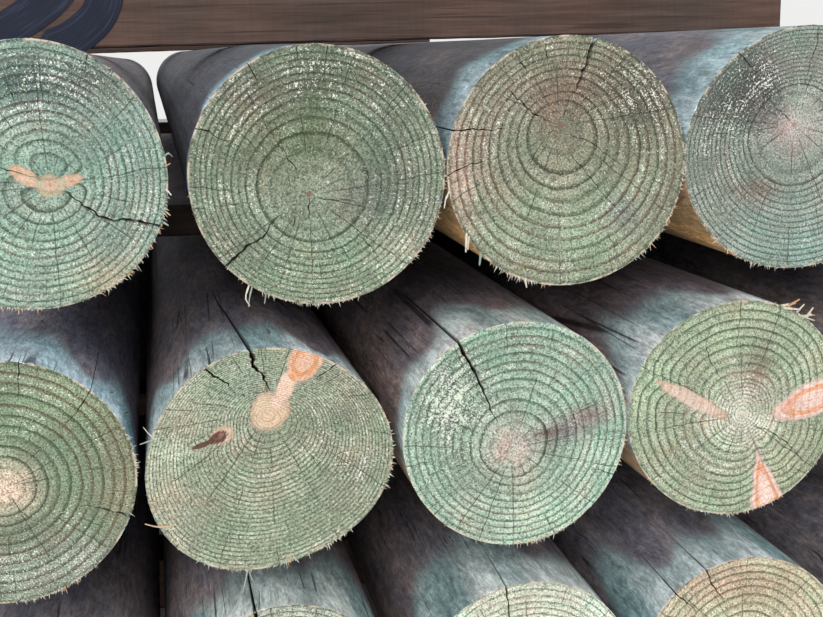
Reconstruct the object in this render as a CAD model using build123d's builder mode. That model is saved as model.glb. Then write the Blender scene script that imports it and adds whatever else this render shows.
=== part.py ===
"""Stack of peeled and treated pine logs, laid in three rows of five.

Thin sawn spacers part the rows, thicker sawn bearers lie under and on top of the stack, and
a webbing strap hangs over the near top bearer. Lengths are in millimetres and +Z is up.
The logs run along Y with their near ends facing -Y, and the origin is on the ground under
the middle of the stack.
"""
import os
from collections import namedtuple
from dataclasses import dataclass
from math import atan2, cos, hypot, pi, radians, sin

from build123d import *

os.makedirs("parts", exist_ok=True)

# Logs
log_length = 3600
log_taper = 2.5  # loss of diameter for each metre of length
outline_points = 16
near_end = -log_length / 2
far_end = log_length / 2

# Sawn timbers that lie across the logs
timber_length = 1160
support_setback = 631  # from the log ends to the face of each timber
ground_bearer_width = 100
ground_bearer_height = 75
spacer_width = 90
spacer_height = 33
top_bearer_width = 100
top_bearer_height = 75

# Clearances where round wood meets sawn wood
seat_clearance = 0.3  # a log above the timber that carries it
rest_clearance = 0.3  # a timber above the highest logs under it

# Strap
strap_width = 45
strap_thickness = 2
strap_clearance = 0.3
tail_clearance = 4  # from the top row's first log to the strap's hanging tail


@dataclass
class Log:
    """One log: its near end's mean diameter, outline, place in the row and bend."""

    name: str
    diameter: float
    oval: float  # share of the radius, with the long axis turned by oval_turn degrees
    oval_turn: float
    lobe: float  # the same for a three-sided outline
    lobe_turn: float
    gap: float  # to the log on its left
    rise: float  # how far the near end bends up from a straight line
    butt_near: bool  # the thick end is the near one
    stagger: float = 0  # how far the log is pushed away from the viewer

    def radius(self, y):
        growth = -1 if self.butt_near else 1
        return self.diameter / 2 + growth * log_taper / 2 * (y - near_end) / 1000

    def outline(self, turn):
        """The outline's distance from the axis as a share of the mean radius."""
        oval = self.oval * cos(2 * (turn - radians(self.oval_turn)))
        lobe = self.lobe * cos(3 * (turn - radians(self.lobe_turn)))
        return 1 + oval + lobe

    def point(self, turn, radius):
        """A point of the outline, across the log from its axis."""
        reach = radius * self.outline(turn)
        return reach * cos(turn), reach * sin(turn)

    def reach(self, direction):
        """How far the outline reaches in a direction, as a share of the mean radius."""
        turns = [direction + radians(step) for step in range(-60, 61, 2)]
        return max(self.outline(turn) * cos(turn - direction) for turn in turns)


# Rows from the ground up, each about its own middle, with its logs from left to right
row_c_middle = -20
row_c = [
    Log("log_c1", 211, 0.012, 20, 0.006, 10, 0, 0, False, 1.5),
    Log("log_c2", 217, 0.010, 60, 0.008, -20, 5, 1, True, -1.5),
    Log("log_c3", 213.6, 0.008, -30, 0.006, 35, 15, -2, False, 0.5),
    Log("log_c4", 214, 0.012, 10, 0.007, 5, 9, -2.5, True, -1.5),
    Log("log_c5", 214.5, 0.006, 70, 0.009, -40, 3, 0, False, 1.5),
]
row_b_middle = -29
row_b = [
    Log("log_b1", 210.8, 0.008, 85, 0.011, 2, 0, 2, True, -0.5),
    Log("log_b2", 207.7, 0.048, 19, 0.026, -11, 6.3, 7.4, True, -1.5),
    Log("log_b3", 212.4, 0.002, 23, 0.007, 38, 9.5, 1.6, False, 0.5),
    Log("log_b4", 213.6, 0.018, 1, 0.008, 44, 0.8, 8, True, -1.5),
    Log("log_b5", 211, 0.010, -20, 0.008, 15, 2, 0, False, 1.5),
]
row_a_middle = 24
row_a = [
    Log("log_a1", 212.5, 0.012, 76, 0.011, -29, 0, 6.6, True, -1.5),
    Log("log_a2", 217.3, 0.003, -63, 0.001, -6, 15.5, -4.4, False, 0.5),
    Log("log_a3", 218.3, 0.002, -5, 0.006, -25, 1.5, -1.2, True, -1.5),
    Log("log_a4", 222, 0.016, 34, 0.011, -54, 1, 0.8, False, 1.5),
    Log("log_a5", 217, 0.010, 10, 0.006, 20, 2, 0, True, -0.5),
]

# Drying checks, the grooves that open in a log's near end as it dries. A path runs from the
# groove's inner end out to the rim as (turn in degrees, share of the radius). The width is
# at the rim, the run is how far the groove goes along the log, and the lean its turn there.
DryingCheck = namedtuple("DryingCheck", "log path width run lean")
drying_checks = [
    DryingCheck("log_c2", [(103, 0.32), (105, 0.71), (103, 1.0)], 3.2, 130, 0),
    DryingCheck("log_c3", [(104, 0.39), (102, 0.80), (101, 1.0)], 2.2, 110, -2),
    DryingCheck("log_c4", [(110, 0.60), (114, 0.88), (113, 1.0)], 2.0, 100, 0),
    DryingCheck("log_b1", [(43, 0.60), (45, 0.85), (46, 1.0)], 1.6, 175, -1),
    DryingCheck("log_b2", [(88, 0.60), (97, 0.81), (97, 1.0)], 3.4, 285, 9),
    DryingCheck("log_b3", [(140, 0.23), (123, 0.59), (121, 0.84), (120, 1.0)], 4.0, 330, 1),
    DryingCheck("log_a1", [(-30, 0.23), (-36, 0.56), (-27, 0.85), (-25, 1.0)], 2.6, 45, 0),
    DryingCheck("log_a2", [(-139, 0.42), (-136, 0.64), (-139, 0.84), (-139, 1.0)], 2.6, 40, 0),
    DryingCheck("log_a3", [(87, 0.53), (81, 0.66), (78, 0.89), (77, 1.0)], 3.0, 60, 0),
]
groove_overreach = 0.12  # share of the radius that a groove's cutter stands out of the rim
groove_lead = 1  # by which the cutter starts in front of the log's end
groove_margin = 3  # turn in degrees from a groove to the edges of the strip that it cuts

# A sloping line across the stack, such as a timber's top: z = height + slope * x
Level = namedtuple("Level", "slope height")


def blend(start, end, share):
    return start + (end - start) * share


def place_across(logs, middle, y):
    """Centre x of each log at y, side by side with their gaps about the row's middle."""
    centres = []
    edge = 0
    for log in logs:
        edge += log.gap + log.reach(pi) * log.radius(y)
        centres.append(edge)
        edge += log.reach(0) * log.radius(y)
    return [middle - edge / 2 + centre for centre in centres]


def seat_height(log, x, y, line):
    """Centre z of a log that lies on a sloping line."""
    direction = atan2(-1, line.slope)
    reach = log.reach(direction) * log.radius(y) * hypot(1, line.slope)
    return line.height + line.slope * x + seat_clearance + reach


class Row:
    """Logs side by side, each laid straight over two lines of seats."""

    def __init__(self, logs, middle, near_line, far_line, support_width):
        self.logs = logs
        self.near_y = near_end + support_setback + support_width / 2
        self.far_y = -self.near_y
        near_x = place_across(logs, middle, self.near_y)
        far_x = place_across(logs, middle, self.far_y)
        self.near_seats = [(x, seat_height(log, x, self.near_y, near_line)) for log, x in zip(logs, near_x)]
        self.far_seats = [(x, seat_height(log, x, self.far_y, far_line)) for log, x in zip(logs, far_x)]

    def centre(self, index, y):
        """Centre (x, z) of a log at y, along its straight stretch."""
        share = (y - self.near_y) / (self.far_y - self.near_y)
        near_x, near_z = self.near_seats[index]
        far_x, far_z = self.far_seats[index]
        return blend(near_x, far_x, share), blend(near_z, far_z, share)

    def crest_height(self, slope, y):
        """Height at x = 0 of the line of that slope that just clears the row at y."""
        direction = atan2(1, -slope)
        heights = []
        for index, log in enumerate(self.logs):
            x, z = self.centre(index, y)
            heights.append(z - slope * x + log.reach(direction) * log.radius(y) * hypot(1, slope))
        return max(heights)

    def resting_line(self, y_start, y_end):
        """The underside of a level timber that has settled on the row between two faces.

        A timber settles until its middle, at x = 0, is as low as the logs allow.
        """
        low, high = -0.1, 0.1
        for _ in range(40):
            left = blend(low, high, 1 / 3)
            right = blend(low, high, 2 / 3)
            if self.rest_height(left, y_start, y_end) < self.rest_height(right, y_start, y_end):
                high = right
            else:
                low = left
        slope = (low + high) / 2
        return Level(slope, self.rest_height(slope, y_start, y_end) + rest_clearance)

    def rest_height(self, slope, y_start, y_end):
        return max(self.crest_height(slope, y_start), self.crest_height(slope, y_end))


def raised(line, height):
    """A line moved square to itself, such as from a timber's underside to its top."""
    return Level(line.slope, line.height + height * hypot(1, line.slope))


def end_plane(x, y, z):
    """A plane across the logs, seen from the near end: local x is +X and local y is +Z."""
    return Plane(origin=(x, y, z), x_dir=(1, 0, 0), z_dir=(0, -1, 0))


def timber_plane(line, y):
    """A plane that lies on a sloping line across the stack."""
    return Plane(origin=(0, y, line.height), x_dir=(1, 0, line.slope), z_dir=(-line.slope, 0, 1))


def section_plane(row, index, y):
    """The plane across a log at y, centred on its bent axis."""
    log = row.logs[index]
    x, z = row.centre(index, y)
    bend_end = near_end + support_setback
    rise = log.rise * max(0, bend_end - y) / support_setback
    return end_plane(x, y + log.stagger, z + rise)


def polar(reach, turn):
    """A point at a distance from the axis and a turn in degrees."""
    return reach * cos(radians(turn)), reach * sin(radians(turn))


def groove_outline(points, width):
    """A groove across a log: pointed at its inner end, and wider towards the rim."""
    last = len(points) - 1
    heading = atan2(points[last][1] - points[0][1], points[last][0] - points[0][0])
    left = []
    right = []
    for step, (x, z) in enumerate(points):
        half = width / 2 * step / last
        left.append((x - half * sin(heading), z + half * cos(heading)))
        right.append((x + half * sin(heading), z - half * cos(heading)))
    return left + right[:0:-1]


def groove_cutter(row, index, check):
    """A drying check's cutter, whose floor rises to the rim as it runs along the log."""
    radius = row.logs[index].radius(near_end)
    near_plane = section_plane(row, index, near_end)
    run_plane = section_plane(row, index, near_end + check.run)
    inner_turn, inner_share = check.path[0]
    rim_turn, rim_share = check.path[-1]
    outer = radius * groove_overreach
    points = [polar(radius * share, turn) for turn, share in check.path[:-1]]
    points.append(polar(radius * rim_share + outer, rim_turn))
    rim_start = near_plane.from_local_coords(polar(radius * rim_share, rim_turn))
    rim_finish = run_plane.from_local_coords(polar(radius * rim_share, rim_turn + check.lean))
    course = (rim_finish - rim_start).normalized()
    outwards = (rim_start - near_plane.origin).normalized()
    depth = radius * (rim_share - inner_share * cos(radians(inner_turn - rim_turn)))
    floor_start = (-depth * (1 + groove_lead / check.run), -groove_lead)
    floor_end = (outer, check.run * (1 + outer / depth))
    with BuildPart() as cutter:
        with BuildSketch(near_plane.offset(groove_lead)):
            with BuildLine():
                Polyline(*groove_outline(points, check.width), close=True)
            make_face()
        extrude(amount=check.run + groove_lead, dir=course)
        with BuildSketch(Plane(origin=rim_start, x_dir=outwards, z_dir=outwards.cross(course))):
            with BuildLine():
                Polyline(floor_start, (outer, -groove_lead), floor_end, close=True)
            make_face()
        extrude(amount=radius / 2, both=True, mode=Mode.INTERSECT)
    return cutter.part


def draw_outline(log, radius, check):
    """A log's outline, in two lengths where a groove cuts one of them."""
    if check is None:
        turns = [2 * pi * step / outline_points for step in range(outline_points)]
        Spline(*[log.point(turn, radius) for turn in turns], periodic=True)
        return
    rim_turn = check.path[-1][0]
    strip_start = radians(min(rim_turn, rim_turn + check.lean) - groove_margin)
    strip_end = radians(max(rim_turn, rim_turn + check.lean) + groove_margin)
    strip_middle = (strip_start + strip_end) / 2
    ThreePointArc(*[log.point(turn, radius) for turn in (strip_start, strip_middle, strip_end)])
    rest = 2 * pi - (strip_end - strip_start)
    turns = [strip_end + rest * step / outline_points for step in range(outline_points + 1)]
    Spline(*[log.point(turn, radius) for turn in turns])


def build_log(row, index):
    """A log whose near end bends up or down in front of the first support."""
    log = row.logs[index]
    check = next((check for check in drying_checks if check.log == log.name), None)
    with BuildPart() as timber:
        for y in (near_end, near_end + support_setback, far_end):
            with BuildSketch(section_plane(row, index, y)):
                with BuildLine():
                    draw_outline(log, log.radius(y), check)
                make_face()
        loft(ruled=True)
        if check:
            add(groove_cutter(row, index, check), mode=Mode.SUBTRACT)
    return timber.part


def build_timber(line, y, width, height):
    """A sawn timber across the stack, resting on a sloping line."""
    with BuildPart(timber_plane(line, y)) as timber:
        Box(timber_length, width, height, align=(Align.CENTER, Align.CENTER, Align.MIN))
    return timber.part


def keep(piece, name):
    piece.label = name
    export_step(piece, f"parts/{name}.step")


# Ground bearers
ground = Level(0, 0)
ground_y = near_end + support_setback + ground_bearer_width / 2
for side, y in (("near", ground_y), ("far", -ground_y)):
    keep(build_timber(ground, y, ground_bearer_width, ground_bearer_height), f"ground_bearer_{side}")
near_line = raised(ground, ground_bearer_height)
far_line = near_line
support_width = ground_bearer_width

# Rows of logs, each with the timbers that lie on it
layers = [
    (row_c, row_c_middle, "lower_spacer", spacer_width, spacer_height),
    (row_b, row_b_middle, "upper_spacer", spacer_width, spacer_height),
    (row_a, row_a_middle, "top_bearer", top_bearer_width, top_bearer_height),
]
for logs, middle, timber_name, width, height in layers:
    row = Row(logs, middle, near_line, far_line, support_width)
    for index, log in enumerate(logs):
        keep(build_log(row, index), log.name)
    face_y = near_end + support_setback
    near_rest = row.resting_line(face_y, face_y + width)
    far_rest = row.resting_line(-face_y - width, -face_y)
    timber_y = face_y + width / 2
    keep(build_timber(near_rest, timber_y, width, height), f"{timber_name}_near")
    keep(build_timber(far_rest, -timber_y, width, height), f"{timber_name}_far")
    near_line = raised(near_rest, height)
    far_line = raised(far_rest, height)
    support_width = width

# Strap over the near top bearer: two passes down its near face, joined round its back
# On the faces x runs along the bearer from the first log's left side, and y up from the
# bearer's underside.
straight_top = 153.5
slanted_top = 99.5
tuck = 81.5
tuck_depth = 55
tail_length = 80
tail = -strap_width / 2 - tail_clearance
bearer_top = top_bearer_height + strap_clearance
strap_out = strap_clearance + strap_thickness  # from the timber to the strap's outer face
straight_route = [(straight_top, bearer_top), (140.5, 38), (116.5, 18), (tuck, -strap_out)]
slanted_route = [(slanted_top, bearer_top), (38.5, 30), (tail + 4, -10), (tail, -tail_length)]
bearer_plane = timber_plane(near_rest, near_end + support_setback)
first_log = row.logs[0]
first_x, _ = row.centre(0, face_y)
log_side = first_x - first_log.reach(pi) * first_log.radius(face_y)
start = bearer_plane.from_local_coords((log_side, 0, 0))
underside = Plane(origin=start, x_dir=bearer_plane.x_dir, z_dir=bearer_plane.z_dir)
near_face = Plane(origin=start, x_dir=bearer_plane.x_dir, z_dir=(0, -1, 0))
with BuildPart() as strap:
    # Straight pass, bent to the left where it goes under the bearer
    with BuildSketch(near_face.offset(strap_clearance)):
        with BuildLine():
            Spline(*straight_route, tangents=((-0.1, -1), (-1, -0.6)))
        trace(line_width=strap_width)
        with Locations((tuck, bearer_top)):
            face_height = bearer_top + strap_out
            Rectangle(5 * strap_width, face_height, align=(Align.CENTER, Align.MAX), mode=Mode.INTERSECT)
    extrude(amount=strap_thickness)
    with BuildSketch(underside.offset(-strap_out)):
        with Locations((tuck, -strap_out)):
            Rectangle(strap_width, strap_out + tuck_depth, align=(Align.CENTER, Align.MIN))
    extrude(amount=strap_thickness)
    # Slanted pass, whose tail hangs beside the stack
    with BuildSketch(near_face.offset(strap_clearance)):
        with BuildLine():
            Spline(*slanted_route, tangents=((-0.6, -1), (0, -1)))
        trace(line_width=strap_width)
        with Locations((slanted_top, bearer_top)):
            drop = bearer_top + tail_length
            Rectangle(9 * strap_width, drop, align=(Align.CENTER, Align.MAX), mode=Mode.INTERSECT)
    extrude(amount=strap_thickness)
    # Both passes over the top, and the turn behind the bearer
    with BuildSketch(underside.offset(bearer_top)):
        with Locations((straight_top, top_bearer_width / 2), (slanted_top, top_bearer_width / 2)):
            Rectangle(strap_width, top_bearer_width + 2 * strap_out)
    extrude(amount=strap_thickness)
    with BuildSketch(near_face.offset(-top_bearer_width - strap_clearance)):
        with Locations(((straight_top + slanted_top) / 2, bearer_top + strap_thickness)):
            turn_width = straight_top - slanted_top + strap_width
            Rectangle(turn_width, strap_width, align=(Align.CENTER, Align.MAX))
    extrude(amount=-strap_thickness)
keep(strap.part, "strap")
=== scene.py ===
import math
import bpy
import numpy as np
from mathutils import Matrix, Vector


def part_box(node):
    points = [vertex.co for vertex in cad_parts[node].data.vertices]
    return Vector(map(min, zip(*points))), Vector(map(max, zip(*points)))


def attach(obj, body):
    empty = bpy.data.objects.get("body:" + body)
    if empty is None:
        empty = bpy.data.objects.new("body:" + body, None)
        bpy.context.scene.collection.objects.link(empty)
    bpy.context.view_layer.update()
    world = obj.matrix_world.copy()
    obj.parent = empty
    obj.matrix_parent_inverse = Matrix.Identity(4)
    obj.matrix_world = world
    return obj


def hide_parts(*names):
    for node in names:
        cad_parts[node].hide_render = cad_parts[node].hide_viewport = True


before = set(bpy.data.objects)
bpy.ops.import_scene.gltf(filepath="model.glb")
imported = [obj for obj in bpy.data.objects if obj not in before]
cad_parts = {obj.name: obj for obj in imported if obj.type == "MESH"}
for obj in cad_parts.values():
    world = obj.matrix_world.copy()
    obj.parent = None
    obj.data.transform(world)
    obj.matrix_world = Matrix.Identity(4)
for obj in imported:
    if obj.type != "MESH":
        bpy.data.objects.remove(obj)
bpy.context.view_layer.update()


# The camera stands close to the near ends, left of the middle and about as high as
# the top row, and looks a little to the right and down on the sawn faces.
def add_object(name, data):
    """An object at the origin, linked to the scene."""
    made = bpy.data.objects.new(name, data)
    bpy.context.scene.collection.objects.link(made)
    return made


camera_data = bpy.data.cameras.new("camera")
camera_data.sensor_width = 36.0
camera_data.lens = 50.98
camera_data.clip_start = 0.05
camera = add_object("camera", camera_data)
camera_forward = Vector((0.20410, 0.95565, -0.21233))
camera_roll = Matrix.Rotation(math.radians(-1.581), 3, "Z")
camera.location = (-0.3275, -2.771, 0.7735)
camera.rotation_euler = (camera_forward.to_track_quat("-Z", "Y").to_matrix() @ camera_roll).to_euler()
bpy.context.scene.camera = camera
bpy.context.scene.view_settings.view_transform = "Standard"


# The studio: a plain pale floor, two large soft lamps in front and a weak even
# light from all round. The pale background shows to the camera and in gloss only.
def add_node(tree, kind, sockets=None, **settings):
    """A node in the tree, with its settings made and its sockets set or linked."""
    made = tree.nodes.new(kind)
    for name, setting in settings.items():
        setattr(made, name, setting)
    for key, given in (sockets or {}).items():
        if isinstance(given, Value):
            given = given.socket
        if isinstance(given, bpy.types.NodeSocket):
            tree.links.new(given, made.inputs[key])
        else:
            made.inputs[key].default_value = given
    return made


def value_of(tree, kind, sockets=None, output=0, **settings):
    """What a new node gives out."""
    return Value(tree, add_node(tree, kind, sockets, **settings).outputs[output])


class Value:
    """A number, colour or direction that a node tree works out at each point."""

    def __init__(self, tree, socket):
        self.tree = tree
        self.socket = socket

    def maths(self, operation, *others):
        numbers = dict(enumerate((self, *others)))
        return value_of(self.tree, "ShaderNodeMath", numbers, operation=operation)

    def __add__(self, other):
        return self.maths("ADD", other)

    def __sub__(self, other):
        return self.maths("SUBTRACT", other)

    def __mul__(self, other):
        return self.maths("MULTIPLY", other)

    def __truediv__(self, other):
        return self.maths("DIVIDE", other)

    def eased(self, low, high, out_low=0.0, out_high=1.0):
        """This number eased from one range to another."""
        ranges = {"From Min": low, "From Max": high, "To Min": out_low, "To Max": out_high}
        return value_of(
            self.tree, "ShaderNodeMapRange", {"Value": self, **ranges}, interpolation_type="SMOOTHSTEP",
        )


def new_material(name, roughness, gloss=0.3):
    """A material with a principled shader, with its tree and that shader."""
    material = bpy.data.materials.new(name)
    material.use_nodes = True
    shader = material.node_tree.nodes["Principled BSDF"]
    shader.inputs["Roughness"].default_value = roughness
    shader.inputs["Specular IOR Level"].default_value = gloss
    return material, material.node_tree, shader


def soft_lamp(name, place, target, side, power):
    """A square lamp of that side, turned to the target."""
    lamp_data = bpy.data.lights.new(name, "AREA")
    lamp_data.shape = "SQUARE"
    lamp_data.size = side
    lamp_data.energy = power
    lamp = add_object(name, lamp_data)
    lamp.location = place
    lamp.rotation_euler = (Vector(target) - Vector(place)).to_track_quat("-Z", "Y").to_euler()


soft_lamp("lamp_left", (-1.6, -5.4, 2.5), (0.0, -1.8, 0.4), 2.4, 170.0)
soft_lamp("lamp_right", (3.0, -4.8, 1.6), (0.0, -1.8, 0.4), 2.6, 62.0)

world = bpy.data.worlds.new("studio")
bpy.context.scene.world = world
world.use_nodes = True
tree = world.node_tree
light_path = add_node(tree, "ShaderNodeLightPath").outputs
seen = Value(tree, light_path["Is Camera Ray"]).maths("MAXIMUM", light_path["Is Glossy Ray"])
seen = seen.maths("MAXIMUM", light_path["Is Transmission Ray"])
fill = value_of(tree, "ShaderNodeBackground", {"Color": (0.93, 0.96, 1.0, 1), "Strength": 0.5})
backdrop = value_of(tree, "ShaderNodeBackground", {"Color": (0.86, 0.86, 0.85, 1), "Strength": 1.0})
sky = value_of(tree, "ShaderNodeMixShader", {0: seen, 1: fill, 2: backdrop})
tree.links.new(sky.socket, tree.nodes["World Output"].inputs["Surface"])

floor_half = 14.0
floor_mesh = bpy.data.meshes.new("floor")
floor_corners = [(x * floor_half, y * floor_half, 0.0) for x, y in ((-1, -1), (1, -1), (1, 1), (-1, 1))]
floor_mesh.from_pydata(floor_corners, [], [(0, 1, 2, 3)])
pale_floor, _, floor_shader = new_material("pale_floor", 0.8)
floor_shader.inputs["Base Color"].default_value = (0.74, 0.74, 0.72, 1)
floor_mesh.materials.append(pale_floor)
add_object("floor", floor_mesh)


# The logs: peeled and pressure-treated pine, sawn square at both ends and laid in
# three rows of five. Each has its own rings, pith, drying checks, knots and stains, some with painted shade.
def object_place(tree):
    return value_of(tree, "ShaderNodeTexCoord", output="Object")


def attribute(tree, name, output="Fac"):
    """What a mesh attribute says at the shaded point."""
    return value_of(tree, "ShaderNodeAttribute", output=output, attribute_name=name)


def noise(place, scale, detail=2.0, rough=0.5, stretch=(1, 1, 1), output=0):
    """A noise value from 0 to 1, stretched along the axes."""
    mapped = value_of(place.tree, "ShaderNodeMapping", {"Vector": place, "Scale": stretch})
    sockets = {"Vector": mapped, "Scale": scale, "Detail": detail, "Roughness": rough}
    return value_of(place.tree, "ShaderNodeTexNoise", sockets, output)


def mix(share, first, second, way="MIX"):
    """Two colours mixed by a share, which goes from the first to the second."""
    tree = (share if isinstance(share, Value) else first).tree
    sockets = {0: share, 6: first, 7: second}
    return value_of(tree, "ShaderNodeMix", sockets, 2, data_type="RGBA", blend_type=way)


def times(colour, other, share=1.0):
    """A colour multiplied by another, by a share."""
    return mix(share, colour, other, "MULTIPLY")


def grey(tone):
    return value_of(tone.tree, "ShaderNodeCombineColor", {0: tone, 1: tone, 2: tone})


def finish_surface(shader, colour, relief=None, distance=0.001, strength=0.7):
    """Gives a shader its colour and fine relief."""
    tree = colour.tree
    tree.links.new(colour.socket, shader.inputs["Base Color"])
    if relief is not None:
        sockets = {"Height": relief, "Distance": distance, "Strength": strength}
        tree.links.new(value_of(tree, "ShaderNodeBump", sockets).socket, shader.inputs["Normal"])


# Growth rings on the sawn ends: dark latewood at the end of each ring
end_grain, tree, shader = new_material("sawn_end_grain", 0.82, 0.25)
place = object_place(tree)
tint = attribute(tree, "tint", "Color")
speckling = attribute(tree, "tint", "Alpha")
wander = noise(place, 20.0) * 0.6 - 0.3
shiver = noise(place, 210.0) * 0.16 - 0.08
ring = attribute(tree, "ring") + (wander + shiver)
ring_number = ring.maths("FLOOR")
ring_phase = ring - ring_number
ring_chance = value_of(tree, "ShaderNodeTexWhiteNoise", {"W": ring_number}, noise_dimensions="1D")
latewood = ring_phase.eased(ring_chance * 0.3 + 0.32, 0.88) * ring_phase.eased(0.92, 1.0, 1.0, 0.0)
late_patch = noise(place, 24.0, 3.0, 0.65).eased(0.30, 0.55, 0.55, 1.0)
late_tone = latewood * (ring_chance * 0.35 + 0.65) * late_patch * ring.eased(0.7, 3.0, 0.25, 1.0)
fine_rings = (ring * (6.283 * 4)).maths("SINE")

# Hair cracks that run out from the pith, each of one width along its length
ray = attribute(tree, "ray", "Vector")
ray_parts = add_node(tree, "ShaderNodeSeparateXYZ", {0: ray}).outputs
bearing = Value(tree, ray_parts[2]).maths("ARCTAN2", ray_parts[0])
reach = value_of(tree, "ShaderNodeVectorMath", {0: ray}, "Value", operation="LENGTH")
ray_bend = noise(place, 42.0, 3.0, 0.6)


def ray_lines(spread, bend, seed, thin, thick):
    """Lines from the pith, so many round the face, that fade out between two distances."""
    spot = bearing * spread + (ray_bend * bend + seed)
    nearest = value_of(
        tree, "ShaderNodeTexVoronoi", {"W": spot, "Scale": 1.0}, "Distance",
        feature="DISTANCE_TO_EDGE", voronoi_dimensions="1D",
    )
    return (nearest * reach / spread).eased(thin, thick, 1.0, 0.0)


long_rays = ray_lines(2.6, 0.22, 31.7, 0.00016, 0.00062) * noise(place, 20.0).eased(0.45, 0.54)
long_rays = long_rays * reach.eased(0.006, 0.030, 0.25, 1.0)
short_rays = ray_lines(8.0, 0.5, 78.2, 0.00010, 0.00046) * noise(place, 62.0).eased(0.50, 0.60)
short_rays = short_rays * reach.eased(0.030, 0.055, 0.0, 0.6)
hair_cracks = long_rays.maths("MAXIMUM", short_rays)

# Torn fibres, pale salt-like speckles in the early wood and dark pits between them
fibre = noise(place, 600.0, 3.0, 0.8)
tuft = noise(place, 640.0, 2.0, 0.75)
patches = noise(place, 24.0, 3.0, 0.6)
hue_patch = noise(place, 31.0, 2.0, 0.5)
band_chance = (ring_chance * 17.0).maths("FRACT")
early_share = ring_phase.eased(0.0, 0.2) * ring_phase.eased(0.45, 0.8, 1.0, 0.0) * ring.eased(1.0, 3.0)
early_share = early_share * noise(place, 48.0, 3.0, 0.6).eased(0.38, 0.62)
speckle_level = patches * 0.16 + (speckling * 0.24 + 0.13) + early_share * band_chance * 0.15
speckle = (tuft - (speckle_level * -0.75 + 0.90)).eased(-0.015, 0.03)
speckle_tone = mix(hue_patch.eased(0.4, 0.6), (0.80, 0.80, 0.74, 1), (0.72, 0.78, 0.64, 1))
pits = fibre.eased(0.34, 0.43, 1.0, 0.0)
grain_tone = fibre.eased(0.32, 0.68, 0.40, 1.78) * patches.eased(0.3, 0.7, 0.84, 1.14)
grain_tones = grey(grain_tone + fine_rings * 0.03)

wood_colour = times(tint, grain_tones)
wood_colour = times(wood_colour, (0.84, 1.04, 0.97, 1), hue_patch.eased(0.5, 0.72, 0.0, 0.55))
wood_colour = times(wood_colour, (1.16, 0.95, 0.92, 1), hue_patch.eased(0.28, 0.48, 0.6, 0.0))
late_hue = mix(band_chance.eased(0.55, 0.8), (0.20, 0.25, 0.20, 1), (0.44, 0.27, 0.24, 1))
wood_colour = times(wood_colour, late_hue, late_tone)
wood_colour = mix(pits * 0.42, wood_colour, (0.055, 0.055, 0.045, 1))
wood_colour = mix(speckle * 0.82, wood_colour, speckle_tone)
wood_colour = mix(hair_cracks * 0.72, wood_colour, (0.045, 0.04, 0.03, 1))
# Painted highlight: a pale, patchy line round the rim, where the torn fibres at the saw cut catch the light.
rim_highlight_share = attribute(tree, "edge").eased(0.0006, 0.0026, 1.0, 0.0)
rim_highlight_share = rim_highlight_share * noise(place, 70.0, 4.0, 0.7).eased(0.46, 0.58)
rim_highlight_tone = mix(hue_patch, (0.50, 0.38, 0.26, 1), (0.80, 0.68, 0.56, 1))
wood_colour = mix(rim_highlight_share * 0.7, wood_colour, rim_highlight_tone)

# Knots: their own fine rings, an orange ring round the heart and a dark outline
knot = attribute(tree, "knot")
knot_tone = attribute(tree, "knot_tint", "Color")
knot_heart = attribute(tree, "knot_tint", "Alpha")
knot_rough = noise(place, 80.0, 4.0, 0.7) * 0.8 - 0.4
knot_mottle = noise(place, 190.0, 3.0, 0.7)
knot_waves = ((knot_rough * 0.12 + knot) * 42.0).maths("SINE")
knot_colour = times(knot_tone, (0.70, 0.46, 0.36, 1), knot_waves.eased(-0.2, 1.0, 0.0, 0.32))
heart_field = knot_mottle * 0.3 + knot
heart_band = heart_field.eased(0.36, 0.46) * heart_field.eased(0.60, 0.74, 1.0, 0.25)
heart_band = heart_band * knot_mottle.eased(0.35, 0.55, 0.5, 1.0)
knot_colour = mix(heart_band * (knot_heart * 0.8), knot_colour, (0.62, 0.23, 0.07, 1))
knot_colour = times(knot_colour, grain_tones, 0.28)
knot_field = knot + knot_rough
knot_rim = knot_field.eased(-0.1, 0.04) * knot_field.eased(0.06, 0.26, 1.0, 0.0)
knot_colour = mix(knot_rim * 0.35, knot_colour, (0.20, 0.10, 0.06, 1))
knot_colour = mix(pits * 0.1, knot_colour, (0.16, 0.09, 0.06, 1))
knot_colour = times(knot_colour, (0.93, 0.80, 0.72, 1), hue_patch.eased(0.38, 0.62, 0.0, 0.6))
knot_colour = times(knot_colour, (0.66, 0.56, 0.46, 1), late_tone * 0.55)
knot_cover = noise(place, 130.0, 4.0, 0.75).eased(0.30, 0.52, 0.66, 0.96)
wood_colour = mix(knot_field.eased(-0.05, 0.09) * knot_cover, wood_colour, knot_colour)

# The checks' walls are brown where they are narrow. The near black where they open wide is painted shade in the groove.
crack = attribute(tree, "crack")
crack_colour = mix(crack.eased(0.3, 0.8), (0.20, 0.095, 0.06, 1), (0.012, 0.008, 0.007, 1))
wood_colour = mix(crack.eased(0.05, 0.4), wood_colour, crack_colour)
relief = late_tone * 0.4 + fibre * 0.7 + speckle * 0.4 - hair_cracks * 0.8
finish_surface(shader, wood_colour, relief, 0.0012)

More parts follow.
